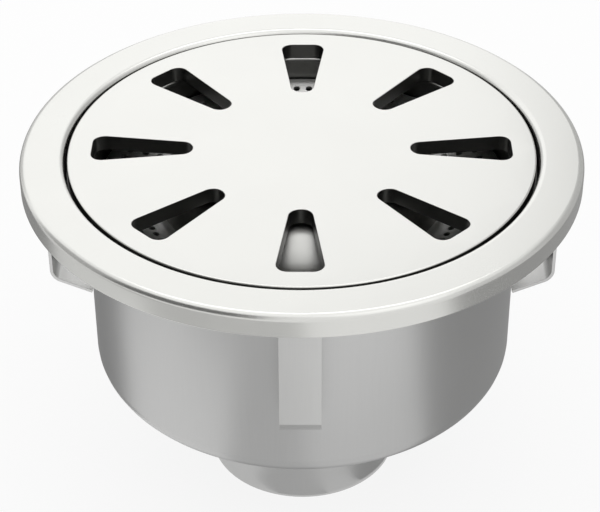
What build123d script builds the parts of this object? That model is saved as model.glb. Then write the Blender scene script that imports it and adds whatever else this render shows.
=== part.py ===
from build123d import *

import os
from math import atan, radians, sin, tan

# Round floor gully in stainless sheet: a slotted cover in a pressed frame, a drawn bowl with a bell trap
# inside, a straight outlet below and four bent lugs that anchor it in the floor.
# Sizes are in millimetres and heights are above the lower rim of the outlet. The front is towards -Y.

TOTAL_HEIGHT = 171.0

# Frame: one sheet folded into a skirt, a flat rim, a recess with a seat, a neck and a ledge
FRAME_RADIUS = 125.0
FRAME_SHEET = 2.0
SKIRT_DEPTH = 10.5
RIM_FOLD_RADIUS = 3.0
RECESS_CORNER_RADIUS = 1.0
NECK_FOLD_RADIUS = 3.0
LEDGE_HEIGHT = 150.0
LEDGE_RADIUS = 90.0
LEDGE_CORNER_RADIUS = 1.0

# Cover: a thick plate with wedge-shaped slots
COVER_RADIUS = 104.0
COVER_THICKNESS = 7.2
COVER_DROP = 1.0
COVER_GAP = 1.3
COVER_EDGE_RADIUS = 0.8
SLOT_COUNT = 8
SLOT_INNER_END = 48.5
SLOT_OUTER_END = 93.4
SLOT_INNER_WIDTH = 9.2
SLOT_OUTER_WIDTH = 21.2
SLOT_INNER_RADIUS = 4.9
SLOT_OUTER_RADIUS = 5.0
SLOT_EDGE_BREAK = 0.4

# Bowl: deep-drawn, with a collar drawn down out of its floor
BOWL_RADIUS = 97.0
BOWL_SHEET = 1.5
BOWL_CORNER_RADIUS = 11.0
BOWL_UNDERSIDE = 60.0
BOWL_RIM_DEPTH = 13.0
COLLAR_DEPTH = 6.0
COLLAR_FOLD_RADIUS = 4.0

# Outlet: tube of the 88.9 mm pipe size
OUTLET_RADIUS = 88.9 / 2
OUTLET_WALL = 2.0
OUTLET_CHAMFER = 1.0

# Anchor lugs: flat strip, bent in under the bowl's side
LUG_NAMES = ("front", "right", "back", "left")
LUG_RADIUS = 116.1
LUG_WIDTH = 17.5
LUG_SHEET = 1.5
LUG_BEND_HEIGHT = 104.1
LUG_BEND_RADIUS = 6.5
LUG_SLOPE = 24.0

# Strainer: perforated funnel with a gutter at its inner edge
STRAINER_SHEET = 1.2
STRAINER_RADIUS = 92.3
FUNNEL_RIM_RADIUS = 89.0
FUNNEL_RIM_FOLD = 4.0
GUTTER_RADIUS = 67.1
GUTTER_DROP = 5.6
GUTTER_FOLD = 4.0
HOLE_RADIUS = 1.6
HOLES_PER_ROW = 90
HOLE_ROW_RADII = (72.0, 78.5, 85.0)

# Bell trap: domed crown in the middle of the strainer, skirt under it, standpipe in the outlet
CROWN_RADIUS = 58.2
CROWN_RISE = 9.8
CROWN_FOLD = 22.0
CROWN_SEAM_RADIUS = 65.0
BELL_RADIUS = 60.0
BELL_SHEET = 1.2
BELL_LOWER_EDGE = 73.0
WATER_SEAL = 50.0
STANDPIPE_RADIUS = 38.0
STANDPIPE_WALL = 1.5
PLUG_LOWER_END = 28.0
PLUG_CLEARANCE = 0.25
PLUG_FLANGE_RADIUS = 53.0
PLUG_FLANGE_THICKNESS = 3.0
PLUG_EDGE_CHAMFER = 0.6
GROOVE_DEPTH = 2.4
GROOVE_WIDTH = 4.0
GROOVE_HEIGHTS = {"lower": 34.0, "upper": 42.0}
SEAL_WIDTH = 3.3
SEAL_CORNER = 0.9

# Heights and radii that follow from the sizes above
seat_height = TOTAL_HEIGHT - COVER_DROP - COVER_THICKNESS
recess_radius = COVER_RADIUS + COVER_GAP
bowl_rim = TOTAL_HEIGHT - BOWL_RIM_DEPTH
neck_radius = BOWL_RADIUS - BOWL_SHEET - FRAME_SHEET
bowl_floor = BOWL_UNDERSIDE + BOWL_SHEET
collar_end = BOWL_UNDERSIDE - COLLAR_DEPTH
outlet_bore = OUTLET_RADIUS - OUTLET_WALL
plug_radius = outlet_bore - PLUG_CLEARANCE
groove_floor = plug_radius - GROOVE_DEPTH
standpipe_rim = BELL_LOWER_EDGE + WATER_SEAL
strainer_rim = LEDGE_HEIGHT + STRAINER_SHEET
gutter_height = strainer_rim - GUTTER_DROP
crown_top = strainer_rim + CROWN_RISE
crown_slope = (crown_top - gutter_height) / (GUTTER_RADIUS - CROWN_RADIUS)
crown_seam = crown_top - crown_slope * (CROWN_SEAM_RADIUS - CROWN_RADIUS)

os.makedirs("parts", exist_ok=True)


def save(builder, name):
    """Label a finished piece and write it to its own file."""
    builder.part.label = name
    export_step(builder.part, f"parts/{name}.step")


# Frame: the visible face of the sheet, from the skirt's lower edge over the rim and down to the ledge
with BuildPart() as frame:
    with BuildSketch(Plane.XZ):
        with BuildLine():
            face_line = FilletPolyline(
                (FRAME_RADIUS, TOTAL_HEIGHT - SKIRT_DEPTH),
                (FRAME_RADIUS, TOTAL_HEIGHT),
                (recess_radius, TOTAL_HEIGHT),
                (recess_radius, seat_height),
                (neck_radius, seat_height),
                (neck_radius, LEDGE_HEIGHT),
                (LEDGE_RADIUS, LEDGE_HEIGHT),
                radius=[
                    RIM_FOLD_RADIUS,
                    RIM_FOLD_RADIUS,
                    RECESS_CORNER_RADIUS,
                    NECK_FOLD_RADIUS,
                    LEDGE_CORNER_RADIUS,
                ],
            )
            offset(face_line, amount=FRAME_SHEET, side=Side.LEFT)
        make_face()
    revolve(axis=Axis.Z)
save(frame, "frame")

# Cover: the slot is drawn once, pointing along +X, and repeated round the plate
with BuildSketch() as slot:
    with BuildLine():
        Polyline(
            (SLOT_INNER_END, SLOT_INNER_WIDTH / 2),
            (SLOT_INNER_END, -SLOT_INNER_WIDTH / 2),
            (SLOT_OUTER_END, -SLOT_OUTER_WIDTH / 2),
            (SLOT_OUTER_END, SLOT_OUTER_WIDTH / 2),
            close=True,
        )
    make_face()
    fillet(slot.vertices().group_by(Axis.X)[0], SLOT_INNER_RADIUS)
    fillet(slot.vertices().group_by(Axis.X)[-1], SLOT_OUTER_RADIUS)

with BuildPart() as cover:
    with BuildSketch(Plane.XY.offset(seat_height)):
        Circle(COVER_RADIUS)
        with PolarLocations(0, SLOT_COUNT):
            add(slot.sketch, mode=Mode.SUBTRACT)
    extrude(amount=COVER_THICKNESS)
    top_face = cover.faces().sort_by(Axis.Z)[-1]
    fillet(top_face.outer_wire().edges(), COVER_EDGE_RADIUS)
    top_face = cover.faces().filter_by(Axis.Z).sort_by(Axis.Z)[-1]
    chamfer([edge for wire in top_face.inner_wires() for edge in wire.edges()], SLOT_EDGE_BREAK)
save(cover, "cover")

# Bowl: the outer face of the sheet, from its rim down the side, under the floor and down the collar
with BuildPart() as bowl:
    with BuildSketch(Plane.XZ):
        with BuildLine():
            face_line = FilletPolyline(
                (BOWL_RADIUS, bowl_rim),
                (BOWL_RADIUS, BOWL_UNDERSIDE),
                (OUTLET_RADIUS, BOWL_UNDERSIDE),
                (OUTLET_RADIUS, collar_end),
                radius=[BOWL_CORNER_RADIUS, COLLAR_FOLD_RADIUS],
            )
            offset(face_line, amount=BOWL_SHEET, side=Side.RIGHT)
        make_face()
    revolve(axis=Axis.Z)
save(bowl, "bowl")

# Outlet spigot: tube with a small lead-in chamfer for a pipe socket
with BuildPart() as outlet_spigot:
    Cylinder(OUTLET_RADIUS, collar_end, align=(Align.CENTER, Align.CENTER, Align.MIN))
    Hole(outlet_bore)
    lower_edge = outlet_spigot.edges().group_by(Axis.Z)[0].sort_by(SortBy.RADIUS)[-1]
    chamfer(lower_edge, OUTLET_CHAMFER)
save(outlet_spigot, "outlet_spigot")

# Anchor lugs: a strip down from under the rim, bent in and sloping down to the bowl's side
lug_end_radius = BOWL_RADIUS + LUG_SHEET * sin(radians(LUG_SLOPE))
lug_end_height = LUG_BEND_HEIGHT - (LUG_RADIUS - lug_end_radius) * tan(radians(LUG_SLOPE))
for turn, lug_name in enumerate(LUG_NAMES):
    lug_plane = Plane.XZ.rotated((0, 0, 90 * turn - 90))
    with BuildPart() as lug:
        with BuildSketch(lug_plane):
            with BuildLine():
                face_line = FilletPolyline(
                    (LUG_RADIUS, TOTAL_HEIGHT - FRAME_SHEET),
                    (LUG_RADIUS, LUG_BEND_HEIGHT),
                    (lug_end_radius, lug_end_height),
                    radius=[LUG_BEND_RADIUS],
                )
                offset(face_line, amount=LUG_SHEET, side=Side.RIGHT)
            make_face()
        extrude(amount=LUG_WIDTH / 2, both=True)
    save(lug, f"anchor_lug_{lug_name}")

# Strainer: the upper face of the sheet, from the seam with the crown down to the gutter and up to the rim
with BuildPart() as strainer:
    with BuildSketch(Plane.XZ):
        with BuildLine():
            face_line = FilletPolyline(
                (CROWN_SEAM_RADIUS, crown_seam),
                (GUTTER_RADIUS, gutter_height),
                (FUNNEL_RIM_RADIUS, strainer_rim),
                (STRAINER_RADIUS, strainer_rim),
                radius=[GUTTER_FOLD, FUNNEL_RIM_FOLD],
            )
            offset(face_line, amount=STRAINER_SHEET, side=Side.RIGHT)
        make_face()
    revolve(axis=Axis.Z)
    with BuildSketch(Plane.XY.offset(crown_top)):
        for row, row_radius in enumerate(HOLE_ROW_RADII):
            with PolarLocations(row_radius, HOLES_PER_ROW, start_angle=row * 180 / HOLES_PER_ROW):
                Circle(HOLE_RADIUS)
    extrude(amount=gutter_height - crown_top - 2 * STRAINER_SHEET, mode=Mode.SUBTRACT)
save(strainer, "strainer")

# Bell crown: the upper face of the sheet, from the middle out over the fold and down to the seam
with BuildPart() as bell_crown:
    with BuildSketch(Plane.XZ):
        with BuildLine():
            face_line = FilletPolyline(
                (0, crown_top),
                (CROWN_RADIUS, crown_top),
                (CROWN_SEAM_RADIUS, crown_seam),
                radius=[CROWN_FOLD],
            )
            offset(face_line, amount=STRAINER_SHEET, side=Side.RIGHT)
        make_face()
    revolve(axis=Axis.Z)
save(bell_crown, "bell_crown")

# Bell skirt: a tube that ends against the crown's underside
underside_top = crown_top - STRAINER_SHEET
underside_corner = CROWN_RADIUS - STRAINER_SHEET * tan(atan(crown_slope) / 2)
underside_edge = underside_top - crown_slope * (CROWN_SEAM_RADIUS - underside_corner)
with BuildPart() as bell_skirt:
    with BuildSketch(Plane.XZ):
        with BuildLine():
            underside = FilletPolyline(
                (0, underside_top),
                (underside_corner, underside_top),
                (CROWN_SEAM_RADIUS, underside_edge),
                radius=[CROWN_FOLD - STRAINER_SHEET],
            )
            Polyline(underside @ 1, (CROWN_SEAM_RADIUS, BELL_LOWER_EDGE), (0, BELL_LOWER_EDGE), underside @ 0)
        make_face()
        with Locations((BELL_RADIUS - BELL_SHEET / 2, crown_top / 2)):
            Rectangle(BELL_SHEET, crown_top, mode=Mode.INTERSECT)
    revolve(axis=Axis.Z)
save(bell_skirt, "bell_skirt")

# Standpipe: the tube whose rim sets the water level
with BuildPart() as standpipe:
    with BuildSketch(Plane.XY.offset(PLUG_LOWER_END)):
        Circle(STANDPIPE_RADIUS)
        Circle(STANDPIPE_RADIUS - STANDPIPE_WALL, mode=Mode.SUBTRACT)
    extrude(amount=standpipe_rim - PLUG_LOWER_END)
save(standpipe, "standpipe")

# Standpipe collar: turned ring that plugs into the outlet, with a flange on the bowl's floor and two grooves
with BuildPart() as standpipe_collar:
    with BuildSketch(Plane.XZ):
        with BuildLine():
            Polyline(
                (STANDPIPE_RADIUS, PLUG_LOWER_END),
                (plug_radius, PLUG_LOWER_END),
                (plug_radius, bowl_floor),
                (PLUG_FLANGE_RADIUS, bowl_floor),
                (PLUG_FLANGE_RADIUS, bowl_floor + PLUG_FLANGE_THICKNESS),
                (STANDPIPE_RADIUS, bowl_floor + PLUG_FLANGE_THICKNESS),
                close=True,
            )
        make_face()
        with Locations(*[(plug_radius, height) for height in GROOVE_HEIGHTS.values()]):
            Rectangle(2 * GROOVE_DEPTH, GROOVE_WIDTH, mode=Mode.SUBTRACT)
    revolve(axis=Axis.Z)
    outer_edges = standpipe_collar.edges().filter_by(GeomType.CIRCLE).group_by(Axis.Z)
    chamfer(outer_edges[0].sort_by(SortBy.RADIUS)[-1], PLUG_EDGE_CHAMFER)
    chamfer(outer_edges[-1].sort_by(SortBy.RADIUS)[-1], PLUG_EDGE_CHAMFER)
save(standpipe_collar, "standpipe_collar")

# Standpipe seals: rubber rings, squeezed between the groove's floor and the outlet's bore
for seal_name, seal_height in GROOVE_HEIGHTS.items():
    with BuildPart() as seal:
        with BuildSketch(Plane.XZ):
            with Locations(((groove_floor + outlet_bore) / 2, seal_height)):
                section = Rectangle(outlet_bore - groove_floor, SEAL_WIDTH)
            chamfer(section.vertices(), SEAL_CORNER)
        revolve(axis=Axis.Z)
    save(seal, f"standpipe_seal_{seal_name}")
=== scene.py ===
from math import cos, pi, radians, sin, tan

import bmesh
import bpy
from mathutils import Matrix, Vector


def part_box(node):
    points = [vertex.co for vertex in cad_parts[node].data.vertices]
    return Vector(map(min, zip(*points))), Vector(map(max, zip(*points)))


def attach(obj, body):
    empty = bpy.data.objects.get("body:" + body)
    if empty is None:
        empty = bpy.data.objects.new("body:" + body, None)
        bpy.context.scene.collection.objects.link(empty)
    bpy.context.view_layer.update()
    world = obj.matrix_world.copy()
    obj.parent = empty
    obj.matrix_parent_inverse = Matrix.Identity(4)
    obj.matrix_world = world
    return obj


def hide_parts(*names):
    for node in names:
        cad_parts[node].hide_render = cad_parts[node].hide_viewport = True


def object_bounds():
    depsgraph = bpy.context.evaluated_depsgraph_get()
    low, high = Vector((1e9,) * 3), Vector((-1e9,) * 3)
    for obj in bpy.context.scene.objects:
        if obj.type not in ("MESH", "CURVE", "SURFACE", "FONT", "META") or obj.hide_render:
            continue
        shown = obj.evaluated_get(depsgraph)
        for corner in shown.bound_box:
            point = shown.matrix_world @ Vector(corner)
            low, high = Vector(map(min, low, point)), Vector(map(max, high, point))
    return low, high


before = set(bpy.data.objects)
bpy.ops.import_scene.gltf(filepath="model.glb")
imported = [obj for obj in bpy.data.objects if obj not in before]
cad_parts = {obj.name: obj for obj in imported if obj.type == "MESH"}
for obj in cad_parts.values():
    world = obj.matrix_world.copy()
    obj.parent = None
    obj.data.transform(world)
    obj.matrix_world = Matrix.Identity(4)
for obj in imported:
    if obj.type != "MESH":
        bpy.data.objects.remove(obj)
CAD_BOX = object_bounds()

bl_info = {
    "name": "Floor gully",
    "version": (1, 0, 0),
    "blender": (4, 5, 0),
    "location": "3D View > Sidebar > Gully",
    "description": "Dresses a round stainless floor gully with a slotted cover and a bell trap",
    "category": "Add Mesh",
}

MM = 0.001

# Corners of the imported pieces, in metres: every size that their boxes give is read from them
FRAME_LOW, FRAME_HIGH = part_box("frame")
COVER_LOW, COVER_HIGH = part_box("cover")
BOWL_LOW, BOWL_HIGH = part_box("bowl")
OUTLET_LOW, OUTLET_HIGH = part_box("outlet_spigot")
LUG_LOW, LUG_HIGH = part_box("anchor_lug_right")

# Quarter turns of the lugs from the one at the right
LUG_QUARTERS = {"right": 0, "back": 1, "left": 2, "front": 3}

# Fineness of the meshes: steps round the axis, faces across a fold and across a broken edge, and the angles
# over which an edge shades as sharp and counts as a corner to be broken
ROUND_STEPS = 288
FOLD_SEGMENTS = 8
EDGE_SEGMENTS = 3
SHARP_ANGLE = radians(35)
CORNER_ANGLE = radians(60)
MERGE_DISTANCE = 0.001 * MM

# Upward share of a normal, from 1 on a level top to -1 on a level underside: the least on the cover's satin
# faces, below which the cover gets a near black painted shade, and where a wall starts and ends turning into
# an underside painted darker as shade or an upper face painted lighter as light
COVER_PAINTED_SHADE_BELOW = 0.3
BOWL_PAINTED_SHADE_TURN = (-0.30, -0.80)
LUG_PAINTED_SHADE_TURN = (-0.03, -0.12)
LUG_PAINTED_LIGHT_TURN = (0.70, 0.90)

# Grain of each steel: cells a metre of its fine and of its broad field, and the strength of its relief
SATIN_GRAIN = (2600.0, 28.0, 0.05)
DRAWN_GRAIN = (1500.0, 22.0, 0.06)
ROLLED_GRAIN = (1800.0, 40.0, 0.06)
TURNED_GRAIN = (2200.0, 40.0, 0.08)
NOISE_DETAIL = 3.0
GRAIN_DEPTH = 0.02 * MM

# Scale of heights that draws the fine cells out into upright lines
DRAWN_LINES = 0.03
ROLLED_LINES = 0.02

# How far tone and roughness swing with the fine and the broad field
FINE_SHADE = 0.05
BROAD_SHADE = 0.05
FINE_ROUGHNESS = 0.06
BROAD_ROUGHNESS = 0.04

# Rubber: its grain, and the middle and swing of its tone and roughness
RUBBER_CELLS = 1800.0
RUBBER_RELIEF = 0.1
RUBBER_DEPTH = 0.05 * MM
RUBBER_SHADE = (1.05, 0.5)
RUBBER_ROUGHNESS = (0.575, 0.15)

# Camera as fitted to the rim and the cover in a picture this many pixels wide. The aim is counted from the
# middle of the rim and the distance from the aim, both in rim radii.
PHOTO_WIDTH = 600
FOCAL_PIXELS = 1889.14
SENSOR_WIDTH = 36.0
CAMERA_AZIMUTH = radians(0.5705)
CAMERA_ELEVATION = radians(35.6611)
CAMERA_ROLL = radians(-0.2953)
CAMERA_DISTANCE = 6.999
CAMERA_AIM = (-0.0079, 0.0, -0.4824)

# Floor, with the share of plain white that the eye and the steel see of it, and the world's fill light
WHITE = (1.0, 1.0, 1.0, 1.0)
FLOOR_REACH = 6.0
FLOOR_PALE = (0.85, 0.85, 0.85, 1.0)
FLOOR_WHITE = 0.85
WORLD_FILL = 0.9

# Soft panels: place in degrees and metres from the middle of the part's top, size in metres, and the level
# that a mirror would show on top of the white all round
SOFT_PANELS = {
    "back_panel": {"azimuth": 206, "elevation": 22, "distance": 1.3, "size": (1.75, 1.05), "level": 0.32},
    "top_panel": {"azimuth": 0, "elevation": 80, "distance": 1.0, "size": (1.4, 0.9), "level": 0.20},
    "crown_panel": {"azimuth": 180, "elevation": 66, "distance": 1.1, "size": (0.9, 0.4), "level": 0.95},
    "front_panel": {"azimuth": 40, "elevation": 45, "distance": 1.4, "size": (0.9, 0.9), "level": 0.30},
}

# Grey cards that lie on the floor and show in the steel alone: level, width of the soft edge, and corners in
# metres. Each lies a step above the one before it.
CARD_STEP = 0.5 * MM
NARROW_EDGE = 14 * MM
WIDE_EDGE = 80 * MM
FLOOR_CARDS = {
    "back_card": (
        0.30,
        WIDE_EDGE,
        ((-0.116, -0.044), (-0.116, 0.20), (0.03, 0.20), (0.03, 0.90), (-0.95, 0.90), (-0.95, 0.32)),
    ),
    "left_card": (
        0.75,
        NARROW_EDGE,
        ((-0.27, -0.19), (-0.27, 0.03), (-0.95, 0.33), (-0.95, -0.19)),
    ),
    "left_front_card": (
        0.58,
        NARROW_EDGE,
        ((-0.127, -0.22), (-0.20, -0.19), (-0.95, -0.19), (-0.95, -0.50), (-0.26, -0.50)),
    ),
    "front_card": (
        0.62,
        NARROW_EDGE,
        ((-0.028, -0.043), (-0.27, -0.50), (-0.006, -0.50), (0.026, -0.043)),
    ),
    "front_right_card": (
        0.78,
        NARROW_EDGE,
        ((0.012, -0.043), (0.000, -0.22), (0.12, -0.20), (0.198, -0.128), (0.038, -0.023)),
    ),
    "right_card": (
        0.38,
        NARROW_EDGE,
        (
            (0.028, -0.040),
            (0.19, -0.14),
            (0.232, -0.172),
            (0.272, -0.242),
            (1.30, -0.75),
            (1.30, 0.70),
            (0.03, 0.70),
        ),
    ),
    "behind_card": (
        0.06,
        NARROW_EDGE,
        ((-0.13, 0.11), (0.13, 0.11), (0.13, 0.27), (-0.13, 0.27)),
    ),
}

# Grey cards that stand round the part: level, left and right azimuths, and lower and upper heights, with
# the angles in degrees
STANDING_DISTANCE = 1.1
STANDING_EDGE = 60 * MM
STANDING_CARDS = {
    "left_flag": (0.16, (-72, -14), (10, 50)),
    "far_left_flag": (0.50, (-108, -72), (4, 45)),
    "right_flag": (0.58, (95, 160), (0, 42)),
    "front_right_flag": (0.70, (55, 95), (4, 40)),
    "back_left_flag": (0.70, (-165, -124), (0, 28)),
}


def length(label, note, default):
    """Length property in metres, shown to a hundredth of a millimetre."""
    return bpy.props.FloatProperty(
        name=label, description=note, default=default, min=0.0, precision=5, unit="LENGTH"
    )


def colour(label, note, default):
    """Colour property in linear light."""
    return bpy.props.FloatVectorProperty(
        name=label, description=note, default=default, size=3, min=0.0, max=1.0, subtype="COLOR"
    )


def share(label, note, default, most=1.0):
    """Share of a tone or of full roughness, from nothing up to the most."""
    return bpy.props.FloatProperty(
        name=label, description=note, default=default, min=0.0, max=most, subtype="FACTOR"
    )


class GullySizes(bpy.types.PropertyGroup):
    """Sizes of the sheet, plate, tube and strip that the gully is made of."""

    rim_radius: length("Rim radius", "Outside of the frame's skirt", FRAME_HIGH.x)
    rim_height: length("Rim height", "Top of the frame above the outlet's end", FRAME_HIGH.z)
    skirt_depth: length("Skirt depth", "Height of the frame's outer edge", 10.5 * MM)
    frame_sheet: length("Frame sheet", "Thickness of the frame", 2 * MM)
    rim_fold: length("Rim fold", "Outer radius of the frame's upper folds", 3 * MM)
    seat_corner: length("Seat corner", "Radius in the corners of the seat and the ledge", 1 * MM)
    ledge_radius: length("Ledge radius", "Inner edge of the ledge that carries the strainer", 90 * MM)
    cut_edge: length("Cut edge", "Rounding of a deburred sheet edge", 0.3 * MM)
    cover_radius: length("Cover radius", "Outside of the cover", COVER_HIGH.x)
    cover_gap: length("Cover gap", "Gap between the cover and the frame", 1.3 * MM)
    cover_edge: length("Cover edge", "Rounding of the cover's upper rim", 0.8 * MM)
    slot_inner_end: length("Slot inner end", "Narrow end, from the middle", 48.5 * MM)
    slot_outer_end: length("Slot outer end", "Wide end, from the middle", 93.4 * MM)
    slot_inner_width: length("Slot inner width", "Width at the narrow end", 9.2 * MM)
    slot_outer_width: length("Slot outer width", "Width at the wide end", 21.2 * MM)
    slot_inner_corner: length("Slot inner corner", "Rounding at the narrow end", 4.9 * MM)
    slot_outer_corner: length("Slot outer corner", "Rounding at the wide end", 5.0 * MM)
    slot_edge: length("Slot edge", "Rounding of the slots' upper edges", 0.4 * MM)
    slot_count: bpy.props.IntProperty(name="Slots", description="Slots in the cover", default=8, min=3)
    bowl_radius: length("Bowl radius", "Outside of the bowl's wall", BOWL_HIGH.x)
    bowl_sheet: length("Bowl sheet", "Thickness of the bowl", 1.5 * MM)
    bowl_corner: length("Bowl corner", "Outer radius of the bowl's lower edge", 11 * MM)
    bowl_floor: length("Bowl floor", "Underside of the bowl's floor above the outlet's end", 60 * MM)
    collar_fold: length("Collar fold", "Radius where the floor turns into the collar", 4 * MM)
    outlet_radius: length("Outlet radius", "Outside of the outlet tube", OUTLET_HIGH.x)
    outlet_wall: length("Outlet wall", "Thickness of the outlet tube", 2 * MM)
    outlet_chamfer: length("Outlet chamfer", "Lead-in at the outlet's end", 1 * MM)
    lug_radius: length("Lug radius", "Outer face of the lugs, from the middle", LUG_HIGH.x)
    lug_width: length("Lug width", "Width of the strip", LUG_HIGH.y - LUG_LOW.y)
    lug_sheet: length("Lug sheet", "Thickness of the strip", 1.5 * MM)
    lug_bend: length("Lug bend", "Outer radius of the bend", 6.5 * MM)
    lug_slope: bpy.props.FloatProperty(
        name="Lug slope", description="Fall of the bent leg", default=radians(24), subtype="ANGLE"
    )


class GullyFinish(bpy.types.PropertyGroup):
    """Colours and roughness of the steel and rubber, with painted shade and painted light among them."""

    satin: colour("Satin steel", "Frame and cover", (0.70, 0.70, 0.675))
    # Near black painted shade for the cover's walls and underside and for the recess round it, where shade
    # falls
    cut: colour("Cut steel", "Cover's walls and underside, and the recess round it", (0.13, 0.13, 0.125))
    drawn: colour("Drawn steel", "Bowl and tubes", (0.55, 0.55, 0.545))
    rolled: colour("Rolled steel", "Lugs", (0.66, 0.66, 0.65))
    pressed: colour("Pressed steel", "Strainer", (0.92, 0.92, 0.90))
    domed: colour("Domed steel", "Bell's crown", (0.58, 0.58, 0.56))
    rubber: colour("Rubber", "Seals", (0.02, 0.02, 0.021))
    # Painted shade: share of the bowl's tone left on its underside
    painted_shade_under_bowl: share("Under the bowl", "Share of the bowl's tone on its underside", 0.35)
    # Painted shade: share of the lugs' tone left under their bend
    painted_shade_under_lugs: share("Under the lugs", "Share of the lugs' tone under their bend", 0.72)
    # Painted light: share of the lugs' tone on their upper faces, above 1 so they show lighter
    painted_light_upon_lugs: share("Upon the lugs", "Share of the lugs' tone on their upper faces", 1.45, most=2.0)
    satin_roughness: share("Satin roughness", "Frame, cover and turned collar", 0.26)
    # The painted-shade faces of the cover and the recess take the drawn roughness too
    drawn_roughness: share("Drawn roughness", "Bowl, trap's tubes, lugs and cut faces", 0.36)
    outlet_roughness: share("Outlet roughness", "Outlet tube", 0.52)
    domed_roughness: share("Domed roughness", "Bell's crown", 0.34)
    pressed_roughness: share("Pressed roughness", "Strainer", 0.48)


class Wiring:
    """Node tree of a material or of the world, filled by node() and by arithmetic on its values."""

    def __init__(self, owner):
        owner.use_nodes = True
        self.tree = owner.node_tree
        self.tree.nodes.clear()

    def node(self, kind, settings=None, inputs=None, output=None):
        """New node: its settings are set first, then its sockets get values or links. Gives one output."""
        node = self.tree.nodes.new(kind)
        for name, setting in (settings or {}).items():
            setattr(node, name, setting)
        for key, value in (inputs or {}).items():
            if isinstance(value, Value):
                self.tree.links.new(value.socket, node.inputs[key])
            else:
                node.inputs[key].default_value = value
        if node.outputs:
            return Value(self, node.outputs[output or 0])

    def noise(self, place, cells):
        """Noise about 0, half a unit either way, with this many cells a metre."""
        inputs = {"Vector": place, "Scale": cells, "Detail": NOISE_DETAIL}
        return self.node("ShaderNodeTexNoise", inputs=inputs) - 0.5

    def grain(self, course, place, numbers):
        """Fine noise along a course, broad noise in place, and the strength of the relief."""
        fine_cells, broad_cells, relief = numbers
        return self.noise(course, fine_cells), self.noise(place, broad_cells), relief

    def upright(self, place, scale):
        """Coordinates with their heights scaled, so that a noise on them runs in upright lines."""
        inputs = {0: place, 1: (1.0, 1.0, scale)}
        return self.node("ShaderNodeVectorMath", {"operation": "MULTIPLY"}, inputs)

    def painted_facing(self, turn, share_there):
        """Painted shade or light: 1 on walls, changing to a share as the normal goes from the start to the
        end of a turn.
        """
        start, end = turn
        normal = self.node("ShaderNodeTexCoord", output="Normal")
        upward = self.node("ShaderNodeSeparateXYZ", inputs={"Vector": normal}, output="Z")
        return self.node(
            "ShaderNodeMapRange",
            {"interpolation_type": "SMOOTHSTEP"},
            {"Value": upward, "From Min": start, "From Max": end, "To Min": 1.0, "To Max": share_there},
        )

    def tint(self, tone, shade):
        """Colour that gets lighter and darker with a value."""
        return self.node("ShaderNodeVectorMath", {"operation": "SCALE"}, {0: tuple(tone), "Scale": shade})


class Value:
    """Output socket of a node; arithmetic on it adds Math nodes."""

    def __init__(self, wiring, socket):
        self.wiring = wiring
        self.socket = socket

    def math(self, operation, first, second):
        """Math node on two values or numbers."""
        return self.wiring.node("ShaderNodeMath", {"operation": operation}, {0: first, 1: second})

    def __add__(self, other):
        return self.math("ADD", self, other)

    def __radd__(self, other):
        return self.math("ADD", other, self)

    def __sub__(self, other):
        return self.math("SUBTRACT", self, other)

    def __rsub__(self, other):
        return self.math("SUBTRACT", other, self)

    def __mul__(self, other):
        return self.math("MULTIPLY", self, other)

    def __rmul__(self, other):
        return self.math("MULTIPLY", other, self)

    def __pow__(self, other):
        return self.math("POWER", self, other)


def metal_finish(name, tone, roughness, grain, painted_facings=()):
    """Steel whose tone, gloss and relief follow a grain.

    Painted facings are the turns at which a wall becomes an underside or an upper face, with the share of
    the tone
    that is left there: below 1 it is painted shade, above 1 painted light.
    """
    material = bpy.data.materials.new(name)
    wiring = Wiring(material)
    place = wiring.node("ShaderNodeTexCoord", output="Object")
    fine, broad, relief = grain(wiring, place)
    shade = 1.0 + FINE_SHADE * fine + BROAD_SHADE * broad
    # Painted shade on undersides and painted light on upper faces, by the way each face points
    for turn, share_there in painted_facings:
        shade = shade * wiring.painted_facing(turn, share_there)
    bump = wiring.node(
        "ShaderNodeBump", inputs={"Strength": relief, "Distance": GRAIN_DEPTH, "Height": fine}
    )
    surface = wiring.node(
        "ShaderNodeBsdfPrincipled",
        inputs={
            "Base Color": wiring.tint(tone, shade),
            "Metallic": 1.0,
            "Roughness": roughness + FINE_ROUGHNESS * fine + BROAD_ROUGHNESS * broad,
            "Normal": bump,
        },
    )
    wiring.node("ShaderNodeOutputMaterial", inputs={"Surface": surface})
    return material


def satin_grain(wiring, place):
    """Even grain of a blasted and rolled surface."""
    return wiring.grain(place, place, SATIN_GRAIN)


def drawn_grain(wiring, place):
    """Fine lines that run down a drawn wall."""
    return wiring.grain(wiring.upright(place, DRAWN_LINES), place, DRAWN_GRAIN)


def rolled_grain(wiring, place):
    """Fine lines along a rolled strip."""
    return wiring.grain(wiring.upright(place, ROLLED_LINES), place, ROLLED_GRAIN)


def turned_grain(wiring, place):
    """Rings left by turning."""
    x, y, z = (
        wiring.node("ShaderNodeSeparateXYZ", inputs={"Vector": place}, output=axis) for axis in "XYZ"
    )
    rings = wiring.node("ShaderNodeCombineXYZ", inputs={"X": (x * x + y * y) ** 0.5, "Z": z})
    return wiring.grain(rings, place, TURNED_GRAIN)


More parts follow.
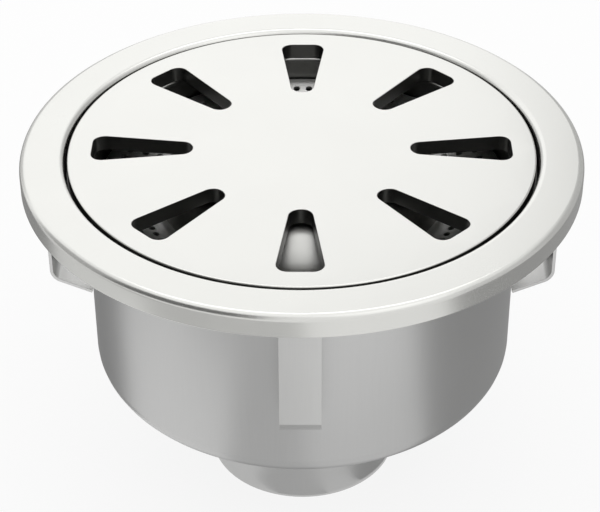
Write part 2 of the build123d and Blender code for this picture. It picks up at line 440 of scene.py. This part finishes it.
def rubber_finish(name, tone):
    """Moulded black rubber with a fine grain."""
    material = bpy.data.materials.new(name)
    wiring = Wiring(material)
    place = wiring.node("ShaderNodeTexCoord", output="Object")
    grain = wiring.noise(place, RUBBER_CELLS)
    middle_shade, shade_swing = RUBBER_SHADE
    middle_roughness, roughness_swing = RUBBER_ROUGHNESS
    bump = wiring.node(
        "ShaderNodeBump", inputs={"Strength": RUBBER_RELIEF, "Distance": RUBBER_DEPTH, "Height": grain}
    )
    surface = wiring.node(
        "ShaderNodeBsdfPrincipled",
        inputs={
            "Base Color": wiring.tint(tone, middle_shade + shade_swing * grain),
            "Roughness": middle_roughness + roughness_swing * grain,
            "Normal": bump,
        },
    )
    wiring.node("ShaderNodeOutputMaterial", inputs={"Surface": surface})
    return material


def bevel(mesh, parts, offset, segments, affect):
    """Round corners or edges; the offset is measured along the sides that meet there."""
    bmesh.ops.bevel(
        mesh,
        geom=parts,
        offset=offset,
        offset_type="OFFSET",
        segments=segments,
        profile=0.5,
        affect=affect,
        material=-1,
    )


def rounded_face(mesh, points, roundings):
    """Flat face through points, with each corner rounded to its own radius."""
    verts = [mesh.verts.new(point) for point in points]
    mesh.faces.new(verts)
    for index, rounding in enumerate(roundings):
        if rounding:
            before = points[index] - points[index - 1]
            after = points[(index + 1) % len(points)] - points[index]
            offset = rounding * tan(before.angle(after) / 2)
            bevel(mesh, [verts[index]], offset, FOLD_SEGMENTS, "VERTICES")


def rounded_section(mesh, corners):
    """Face in the XZ plane through (radius, height, rounding) corners."""
    points = [Vector((radius, 0.0, height)) for radius, height, _ in corners]
    rounded_face(mesh, points, [rounding for _, _, rounding in corners])


def turn_outline(mesh, angle, steps, **closing):
    """Keep the outline of the mesh's faces alone, and turn it round the upright axis."""
    bmesh.ops.delete(mesh, geom=mesh.faces[:], context="FACES_ONLY")
    bmesh.ops.spin(
        mesh,
        geom=mesh.verts[:] + mesh.edges[:],
        cent=(0, 0, 0),
        axis=(0, 0, 1),
        dvec=(0, 0, 0),
        angle=angle,
        steps=steps,
        **closing,
    )


def spun(mesh):
    """Turn the section's outline once round the axis into a closed shell."""
    turn_outline(mesh, 2 * pi, ROUND_STEPS, use_merge=True)
    close_up(mesh)


def push_out(mesh, way):
    """Push the mesh's faces along a straight way, with walls between the old and the new place."""
    pushed = bmesh.ops.extrude_face_region(mesh, geom=mesh.faces[:])["geom"]
    verts = [part for part in pushed if isinstance(part, bmesh.types.BMVert)]
    bmesh.ops.translate(mesh, verts=verts, vec=way)


def close_up(mesh):
    """Merge doubles and point every face outwards."""
    bmesh.ops.remove_doubles(mesh, verts=mesh.verts[:], dist=MERGE_DISTANCE)
    bmesh.ops.recalc_face_normals(mesh, faces=mesh.faces[:])


def corner_edges(mesh):
    """Edges at which the surface turns a corner."""
    return [edge for edge in mesh.edges if edge.calc_face_angle(0.0) > CORNER_ANGLE]


def break_edges(mesh, edges, size):
    """Round these edges to a small radius."""
    bevel(mesh, edges, size, EDGE_SEGMENTS, "EDGES")


def new_object(mesh, name, *materials):
    """Make the mesh an object at the origin with these materials."""
    data = bpy.data.meshes.new(name)
    mesh.to_mesh(data)
    mesh.free()
    for material in materials:
        data.materials.append(material)
    thing = bpy.data.objects.new(name, data)
    bpy.context.scene.collection.objects.link(thing)
    return thing


def add_piece(mesh, name, node, slot, *materials):
    """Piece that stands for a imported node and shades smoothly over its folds."""
    piece = new_object(mesh, name, *materials)
    piece.data.shade_smooth()
    piece.data.set_sharp_from_angle(angle=SHARP_ANGLE)
    even = piece.modifiers.new("Even shading", "WEIGHTED_NORMAL")
    even.mode = "FACE_AREA_WITH_ANGLE"
    even.keep_sharp = True
    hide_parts(node)
    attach(piece, "root")


def dress_node(node, material):
    """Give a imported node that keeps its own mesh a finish."""
    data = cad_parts[node].data
    data.materials.clear()
    data.materials.append(material)


class GULLY_OT_frame(bpy.types.Operator):
    """Press the frame: skirt, flat rim, recess with a seat, neck and ledge"""

    bl_idname = "gully.frame"
    bl_label = "Frame"

    def execute(self, context):
        size = context.scene.gully_sizes
        finish = context.scene.gully_finish
        sheet = size.frame_sheet
        top = size.rim_height
        skirt_end = top - size.skirt_depth
        seat = COVER_LOW.z
        recess = size.cover_radius + size.cover_gap
        neck = size.bowl_radius - size.bowl_sheet - sheet
        ledge = FRAME_LOW.z + sheet
        outer, inner = size.rim_fold, size.rim_fold - sheet
        corner, edge = size.seat_corner, size.cut_edge
        mesh = bmesh.new()
        rounded_section(
            mesh,
            [
                (size.rim_radius, skirt_end, edge),
                (size.rim_radius, top, outer),
                (recess, top, outer),
                (recess, seat, corner),
                (neck, seat, outer),
                (neck, ledge, corner),
                (size.ledge_radius, ledge, edge),
                (size.ledge_radius, ledge - sheet, edge),
                (neck + sheet, ledge - sheet, corner + sheet),
                (neck + sheet, seat - sheet, inner),
                (recess + sheet, seat - sheet, corner + sheet),
                (recess + sheet, top - sheet, inner),
                (size.rim_radius - sheet, top - sheet, inner),
                (size.rim_radius - sheet, skirt_end, edge),
            ],
        )
        spun(mesh)
        # Faces in the recess, on the seat, the neck and the ledge get a near black painted shade; the neck's
        # fold stays satin
        for face in mesh.faces:
            middle = face.calc_center_median()
            radius, height = middle.xy.length, middle.z
            inside = radius < recess + sheet / 2 and height < top - outer
            neck_fold = radius < size.bowl_radius and height > seat - outer / 2
            face.material_index = int(inside and not neck_fold)
        satin = metal_finish("satin_frame_steel", finish.satin, finish.satin_roughness, satin_grain)
        recess_painted_shade = metal_finish("painted_shade_recess_steel", finish.cut, finish.drawn_roughness, satin_grain)
        add_piece(mesh, "frame_pressing", "frame", "frame_steel", satin, recess_painted_shade)
        return {"FINISHED"}


class GULLY_OT_cover(bpy.types.Operator):
    """Cut the cover: a thick round plate with wedge-shaped slots"""

    bl_idname = "gully.cover"
    bl_label = "Cover"

    def execute(self, context):
        size = context.scene.gully_sizes
        finish = context.scene.gully_finish
        mesh = bmesh.new()
        self.draw_slots(mesh, size)
        bmesh.ops.create_circle(mesh, cap_ends=False, radius=size.cover_radius, segments=ROUND_STEPS)
        bmesh.ops.triangle_fill(mesh, edges=mesh.edges[:], use_beauty=True, normal=(0, 0, 1))
        push_out(mesh, (0, 0, COVER_HIGH.z - COVER_LOW.z))
        bmesh.ops.translate(mesh, verts=mesh.verts[:], vec=(0, 0, COVER_LOW.z))
        close_up(mesh)
        self.round_edges(mesh, size)
        # Faces that do not face up, the walls of the rim and the slots and the underside, get a near black
        # painted shade
        for face in mesh.faces:
            face.material_index = int(face.normal.z < COVER_PAINTED_SHADE_BELOW)
        satin = metal_finish("satin_cover_steel", finish.satin, finish.satin_roughness, satin_grain)
        cut = metal_finish("painted_shade_cover_steel", finish.cut, finish.drawn_roughness, drawn_grain)
        add_piece(mesh, "cover_grating", "cover", "cover_steel", satin, cut)
        return {"FINISHED"}

    def draw_slots(self, mesh, size):
        """Outlines of the slots, drawn once along +X and repeated round the middle."""
        near, far = size.slot_inner_end, size.slot_outer_end
        half_near, half_far = size.slot_inner_width / 2, size.slot_outer_width / 2
        outline = [(near, half_near), (near, -half_near), (far, -half_far), (far, half_far)]
        roundings = [size.slot_inner_corner] * 2 + [size.slot_outer_corner] * 2
        rounded_face(mesh, [Vector((x, y, 0.0)) for x, y in outline], roundings)
        others = size.slot_count - 1
        turn_outline(mesh, 2 * pi * others / size.slot_count, others, use_duplicate=True)

    def round_edges(self, mesh, size):
        """Round the upper edge of the rim and of every slot."""
        middle = (COVER_LOW.z + COVER_HIGH.z) / 2
        upper = [edge for edge in corner_edges(mesh) if all(vert.co.z > middle for vert in edge.verts)]
        rim_start = (size.slot_outer_end + size.cover_radius) / 2
        rim = [edge for edge in upper if edge.verts[0].co.xy.length > rim_start]
        slots = [edge for edge in upper if edge.verts[0].co.xy.length < rim_start]
        break_edges(mesh, rim, size.cover_edge)
        break_edges(mesh, slots, size.slot_edge)


class GULLY_OT_bowl(bpy.types.Operator):
    """Draw the bowl: wall, rounded lower edge, floor and the collar down to the outlet"""

    bl_idname = "gully.bowl"
    bl_label = "Bowl"

    def execute(self, context):
        size = context.scene.gully_sizes
        finish = context.scene.gully_finish
        sheet = size.bowl_sheet
        wall, collar = size.bowl_radius, size.outlet_radius
        floor = size.bowl_floor
        edge = size.cut_edge
        mesh = bmesh.new()
        rounded_section(
            mesh,
            [
                (wall, BOWL_HIGH.z, edge),
                (wall, floor, size.bowl_corner),
                (collar, floor, size.collar_fold),
                (collar, BOWL_LOW.z, 0.0),
                (collar - sheet, BOWL_LOW.z, 0.0),
                (collar - sheet, floor + sheet, size.collar_fold + sheet),
                (wall - sheet, floor + sheet, size.bowl_corner - sheet),
                (wall - sheet, BOWL_HIGH.z, edge),
            ],
        )
        spun(mesh)
        # The bowl's underside is painted darker as shade
        painted_facings = [(BOWL_PAINTED_SHADE_TURN, finish.painted_shade_under_bowl)]
        steel = metal_finish(
            "drawn_bowl_steel", finish.drawn, finish.drawn_roughness, drawn_grain, painted_facings
        )
        add_piece(mesh, "bowl_drawing", "bowl", "drawn_steel", steel)
        return {"FINISHED"}


class GULLY_OT_outlet(bpy.types.Operator):
    """Make the outlet tube below the bowl, with a lead-in at its end"""

    bl_idname = "gully.outlet"
    bl_label = "Outlet"

    def execute(self, context):
        size = context.scene.gully_sizes
        finish = context.scene.gully_finish
        outside, inside = size.outlet_radius, size.outlet_radius - size.outlet_wall
        chamfer = size.outlet_chamfer
        mesh = bmesh.new()
        rounded_section(
            mesh,
            [
                (outside, OUTLET_HIGH.z, 0.0),
                (outside, OUTLET_LOW.z + chamfer, size.cut_edge),
                (outside - chamfer, OUTLET_LOW.z, size.cut_edge),
                (inside, OUTLET_LOW.z, size.cut_edge),
                (inside, OUTLET_HIGH.z, 0.0),
            ],
        )
        spun(mesh)
        steel = metal_finish("drawn_tube_steel", finish.drawn, finish.outlet_roughness, drawn_grain)
        add_piece(mesh, "outlet_tube", "outlet_spigot", "tube_steel", steel)
        return {"FINISHED"}


class GULLY_OT_lugs(bpy.types.Operator):
    """Bend the four lugs from flat strip"""

    bl_idname = "gully.lugs"
    bl_label = "Anchor lugs"

    def execute(self, context):
        size = context.scene.gully_sizes
        finish = context.scene.gully_finish
        # Under its bend the strip is painted darker as shade, and its upper faces lighter as painted light
        painted_facings = [(LUG_PAINTED_SHADE_TURN, finish.painted_shade_under_lugs), (LUG_PAINTED_LIGHT_TURN, finish.painted_light_upon_lugs)]
        steel = metal_finish(
            "rolled_strip_steel", finish.rolled, finish.drawn_roughness, rolled_grain, painted_facings
        )
        for side, quarters in LUG_QUARTERS.items():
            mesh = bmesh.new()
            self.bend_strip(mesh, size)
            turn = Matrix.Rotation(quarters * pi / 2, 3, "Z")
            bmesh.ops.rotate(mesh, verts=mesh.verts[:], cent=(0, 0, 0), matrix=turn)
            add_piece(mesh, f"lug_strip_{side}", f"anchor_lug_{side}", "strip_steel", steel)
        return {"FINISHED"}

    def bend_strip(self, mesh, size):
        """Strip down from under the rim at +X, bent in and sloping down to the bowl's wall."""
        sheet, slope = size.lug_sheet, size.lug_slope
        outside, inside = size.lug_radius, size.lug_radius - size.lug_sheet
        end_radius = size.bowl_radius + sheet * sin(slope)
        bend_height = LUG_LOW.z + (outside - end_radius) * tan(slope)
        rounded_section(
            mesh,
            [
                (outside, LUG_HIGH.z, 0.0),
                (outside, bend_height, size.lug_bend),
                (end_radius, LUG_LOW.z, 0.0),
                (size.bowl_radius, LUG_LOW.z + sheet * cos(slope), 0.0),
                (inside, bend_height - sheet * tan(slope) + sheet / cos(slope), size.lug_bend - sheet),
                (inside, LUG_HIGH.z, 0.0),
            ],
        )
        bmesh.ops.translate(mesh, verts=mesh.verts[:], vec=(0, -size.lug_width / 2, 0))
        push_out(mesh, (0, size.lug_width, 0))
        close_up(mesh)
        break_edges(mesh, corner_edges(mesh), size.cut_edge / 2)


class GULLY_OT_trap(bpy.types.Operator):
    """Finish the strainer, the bell and the standpipe inside the bowl"""

    bl_idname = "gully.trap"
    bl_label = "Bell trap"

    def execute(self, context):
        finish = context.scene.gully_finish
        pressed = metal_finish(
            "pressed_strainer_steel", finish.pressed, finish.pressed_roughness, satin_grain
        )
        domed = metal_finish("domed_crown_steel", finish.domed, finish.domed_roughness, satin_grain)
        tube = metal_finish("drawn_trap_steel", finish.drawn, finish.drawn_roughness, drawn_grain)
        turned = metal_finish("turned_collar_steel", finish.drawn, finish.satin_roughness, turned_grain)
        rubber = rubber_finish("seal_rubber_black", finish.rubber)
        dress_node("strainer", pressed)
        dress_node("bell_crown", domed)
        dress_node("bell_skirt", tube)
        dress_node("standpipe", tube)
        dress_node("standpipe_collar", turned)
        dress_node("standpipe_seal_upper", rubber)
        dress_node("standpipe_seal_lower", rubber)
        return {"FINISHED"}


def direction(azimuth, elevation):
    """Unit vector towards an azimuth counted from the front, -Y, and a height above the horizon."""
    return Vector((sin(azimuth) * cos(elevation), -cos(azimuth) * cos(elevation), sin(elevation)))


def seen_directly(wiring):
    """1 for the camera's own rays, reflections and rays through glass, 0 for light that fills."""
    camera, glossy, through = (
        wiring.node("ShaderNodeLightPath", output=kind)
        for kind in ("Is Camera Ray", "Is Glossy Ray", "Is Transmission Ray")
    )
    total = camera + glossy + through
    return total.math("MINIMUM", total, 1.0)


def soft_panel(name, aim, azimuth, elevation, distance, size, level):
    """Area light that faces the aim; level is the brightness that a mirror would show."""
    data = bpy.data.lights.new(name, "AREA")
    data.shape = "RECTANGLE"
    data.size, data.size_y = size
    data.energy = level * pi * data.size * data.size_y
    panel = bpy.data.objects.new(name, data)
    bpy.context.scene.collection.objects.link(panel)
    towards = direction(radians(azimuth), radians(elevation))
    panel.location = aim + towards * distance
    panel.rotation_mode = "QUATERNION"
    panel.rotation_quaternion = (-towards).to_track_quat("-Z", "Y")


def grey_card(name, level, soft_edge, corners):
    """Flat card of a plain grey that fades out at its edge and shows in reflections only."""
    mesh = bmesh.new()
    mesh.faces.new([mesh.verts.new(corner) for corner in corners])
    bmesh.ops.inset_region(
        mesh, faces=mesh.faces[:], thickness=soft_edge, use_even_offset=True, use_boundary=True
    )
    fade = mesh.verts.layers.float.new("fade")
    for vert in mesh.verts:
        vert[fade] = float(vert.is_boundary)
    material = bpy.data.materials.new(name)
    wiring = Wiring(material)
    clear = wiring.node("ShaderNodeBsdfTransparent")
    grey = wiring.node("ShaderNodeEmission", inputs={"Color": WHITE, "Strength": level})
    faded = wiring.node("ShaderNodeAttribute", {"attribute_name": "fade"}, output="Fac")
    mixed = wiring.node("ShaderNodeMixShader", inputs={0: 1.0 - faded, 1: clear, 2: grey})
    wiring.node("ShaderNodeOutputMaterial", inputs={"Surface": mixed})
    card = new_object(mesh, name, material)
    card.visible_camera = False
    card.visible_diffuse = False
    card.visible_shadow = False


class GULLY_OT_stage(bpy.types.Operator):
    """Set the pale floor, the soft lights and the camera"""

    bl_idname = "gully.stage"
    bl_label = "Stage"

    def execute(self, context):
        self.lay_floor()
        self.light_world(context.scene)
        self.hang_panels()
        self.set_cards()
        self.set_camera(context.scene)
        context.scene.view_settings.view_transform = "Standard"
        return {"FINISHED"}

    def lay_floor(self):
        """Pale floor that keeps the shadow; most of what the eye and the steel see of it is plain white."""
        mesh = bmesh.new()
        bmesh.ops.create_grid(mesh, x_segments=1, y_segments=1, size=FLOOR_REACH)
        material = bpy.data.materials.new("pale_floor")
        wiring = Wiring(material)
        pale = wiring.node("ShaderNodeBsdfDiffuse", inputs={"Color": FLOOR_PALE})
        white = wiring.node("ShaderNodeEmission", inputs={"Color": WHITE, "Strength": 1.0})
        seen = FLOOR_WHITE * seen_directly(wiring)
        mixed = wiring.node("ShaderNodeMixShader", inputs={0: seen, 1: pale, 2: white})
        wiring.node("ShaderNodeOutputMaterial", inputs={"Surface": mixed})
        new_object(mesh, "floor", material)

    def light_world(self, scene):
        """White all round for the eye and the steel, with a softer fill for everything else."""
        world = bpy.data.worlds.new("studio")
        scene.world = world
        wiring = Wiring(world)
        strength = WORLD_FILL + (1.0 - WORLD_FILL) * seen_directly(wiring)
        backdrop = wiring.node("ShaderNodeBackground", inputs={"Color": WHITE, "Strength": strength})
        wiring.node("ShaderNodeOutputWorld", inputs={"Surface": backdrop})

    def hang_panels(self):
        """Soft panels behind at the left, overhead, high at the back and in front."""
        aim = Vector((0.0, 0.0, CAD_BOX[1].z))
        for name, panel in SOFT_PANELS.items():
            soft_panel(name, aim, **panel)

    def set_cards(self):
        """Cards on the floor and standing round the gully, which give its walls and folds their bands."""
        for layer, (name, card) in enumerate(FLOOR_CARDS.items(), start=1):
            level, soft_edge, corners = card
            grey_card(name, level, soft_edge, [Vector((x, y, layer * CARD_STEP)) for x, y in corners])
        for name, (level, azimuths, heights) in STANDING_CARDS.items():
            left, right = (radians(azimuth) for azimuth in azimuths)
            low, high = (radians(height) for height in heights)
            outline = ((left, low), (right, low), (right, high), (left, high))
            corners = [direction(*corner) * STANDING_DISTANCE for corner in outline]
            grey_card(name, level, STANDING_EDGE, corners)

    def set_camera(self, scene):
        """Camera at the photograph's angle, from its fit about the middle of the rim."""
        radius = FRAME_HIGH.x
        aim = Vector(CAMERA_AIM) * radius + Vector((0.0, 0.0, FRAME_HIGH.z))
        back = direction(CAMERA_AZIMUTH, CAMERA_ELEVATION)
        level = Vector((cos(CAMERA_AZIMUTH), sin(CAMERA_AZIMUTH), 0.0))
        right = Matrix.Rotation(CAMERA_ROLL, 3, back) @ level
        basis = Matrix((right, back.cross(right), back)).transposed()
        data = bpy.data.cameras.new("photo_camera")
        data.sensor_fit = "HORIZONTAL"
        data.sensor_width = SENSOR_WIDTH
        data.lens = FOCAL_PIXELS / PHOTO_WIDTH * SENSOR_WIDTH
        camera = bpy.data.objects.new("photo_camera", data)
        scene.collection.objects.link(camera)
        place = Matrix.Translation(aim + back * CAMERA_DISTANCE * radius)
        camera.matrix_world = place @ basis.to_4x4()
        scene.camera = camera


class GULLY_PT_build(bpy.types.Panel):
    """Lists the gully's build steps, sizes and finishes"""

    bl_idname = "GULLY_PT_build"
    bl_label = "Floor gully"
    bl_space_type = "VIEW_3D"
    bl_region_type = "UI"
    bl_category = "Gully"

    def draw(self, context):
        for step in STEPS:
            self.layout.operator(step.bl_idname)
        for group in (context.scene.gully_sizes, context.scene.gully_finish):
            box = self.layout.box()
            for name in group.__annotations__:
                box.prop(group, name)


STEPS = (
    GULLY_OT_frame,
    GULLY_OT_cover,
    GULLY_OT_bowl,
    GULLY_OT_outlet,
    GULLY_OT_lugs,
    GULLY_OT_trap,
    GULLY_OT_stage,
)
CLASSES = (GullySizes, GullyFinish, *STEPS, GULLY_PT_build)


def register():
    """Make the operators, the panel and the scene's gully properties known."""
    for entry in CLASSES:
        bpy.utils.register_class(entry)
    bpy.types.Scene.gully_sizes = bpy.props.PointerProperty(type=GullySizes)
    bpy.types.Scene.gully_finish = bpy.props.PointerProperty(type=GullyFinish)


def unregister():
    """Take away what register() added."""
    del bpy.types.Scene.gully_finish
    del bpy.types.Scene.gully_sizes
    for entry in reversed(CLASSES):
        bpy.utils.unregister_class(entry)


def main():
    """Build the pieces and the stage."""
    register()
    bpy.ops.gully.frame()
    bpy.ops.gully.cover()
    bpy.ops.gully.bowl()
    bpy.ops.gully.outlet()
    bpy.ops.gully.lugs()
    bpy.ops.gully.trap()
    bpy.ops.gully.stage()


if __name__ == "__main__":
    main()
